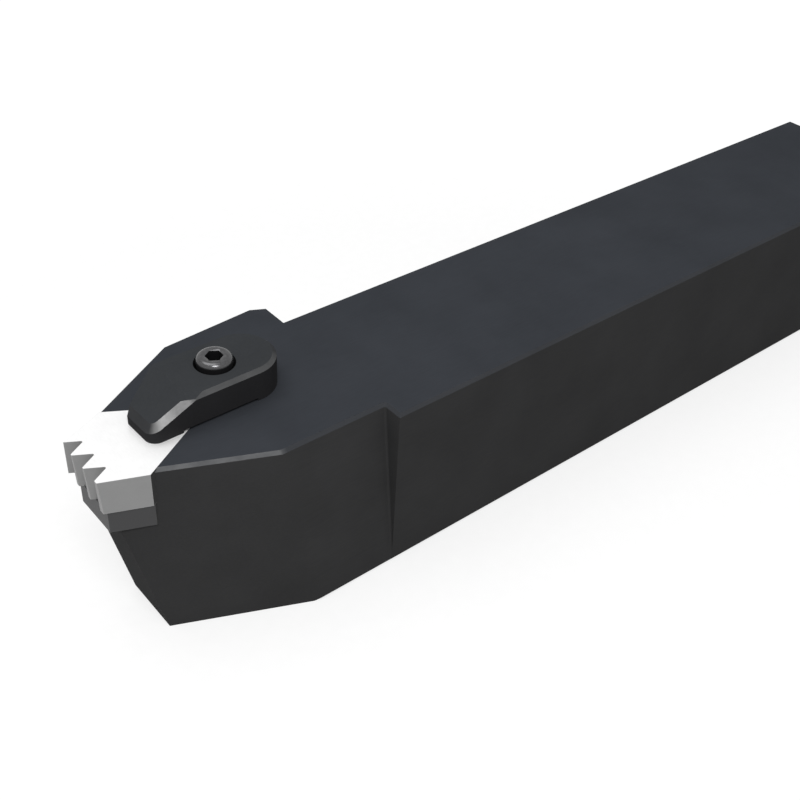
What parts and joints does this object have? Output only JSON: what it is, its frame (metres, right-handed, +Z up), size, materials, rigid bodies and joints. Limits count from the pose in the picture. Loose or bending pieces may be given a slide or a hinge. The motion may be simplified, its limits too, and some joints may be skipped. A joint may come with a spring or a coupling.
{
  "type": "turning tool holder",
  "caption": "External threading tool holder with a square shank, an offset head, a top clamp and a toothed thread chaser insert on a shim.",
  "frame": {"origin": "on the base, on the shank's middle line, at the step where the head meets the shank", "axes": "+X along the shank towards its plain rear end, the cutting edge points to -X; +Y across the shank, away from the relieved side of the head; +Z up, out of the top face that carries the clamp"},
  "size_m": [0.15, 0.0298, 0.0306],
  "materials": {
    "holder_steel": "blackened, satin",
    "insert_carbide": "ground, bright",
    "shim_carbide": "ground, dark",
    "clamp_steel": "blackened, satin",
    "screw_steel": "blackened",
    "spring_steel": "drawn wire",
    "pin_steel": "ground"
  },
  "bodies": {
    "holder": {"holder_body": "holder_steel", "chaser_insert": "insert_carbide", "shim": "shim_carbide", "shim_screw": "screw_steel"},
    "clamp": {"clamp": "clamp_steel", "guide_pin": "pin_steel", "clamp_spring": "spring_steel"},
    "screw": {"clamp_screw": "screw_steel", "retaining_ring": "spring_steel"}
  },
  "joints": [
    {"name": "clamp_lift", "type": "slide", "parent": "holder", "child": "clamp", "axis": [0, 0, 1], "range_m": [0, 0.0035], "deforming": ["clamp_spring"]},
    {"name": "clamp_screw_turn", "type": "hinge", "parent": "clamp", "child": "screw", "pos_m": [-0.0153, 0.0045, 0.0279], "axis": [0, 0, 1], "range_deg": [0, 2520.5]}
  ],
  "couplings": [
    {"joint": "clamp_screw_turn", "follows": "clamp_lift", "rad_per_m": 12566}
  ]
}
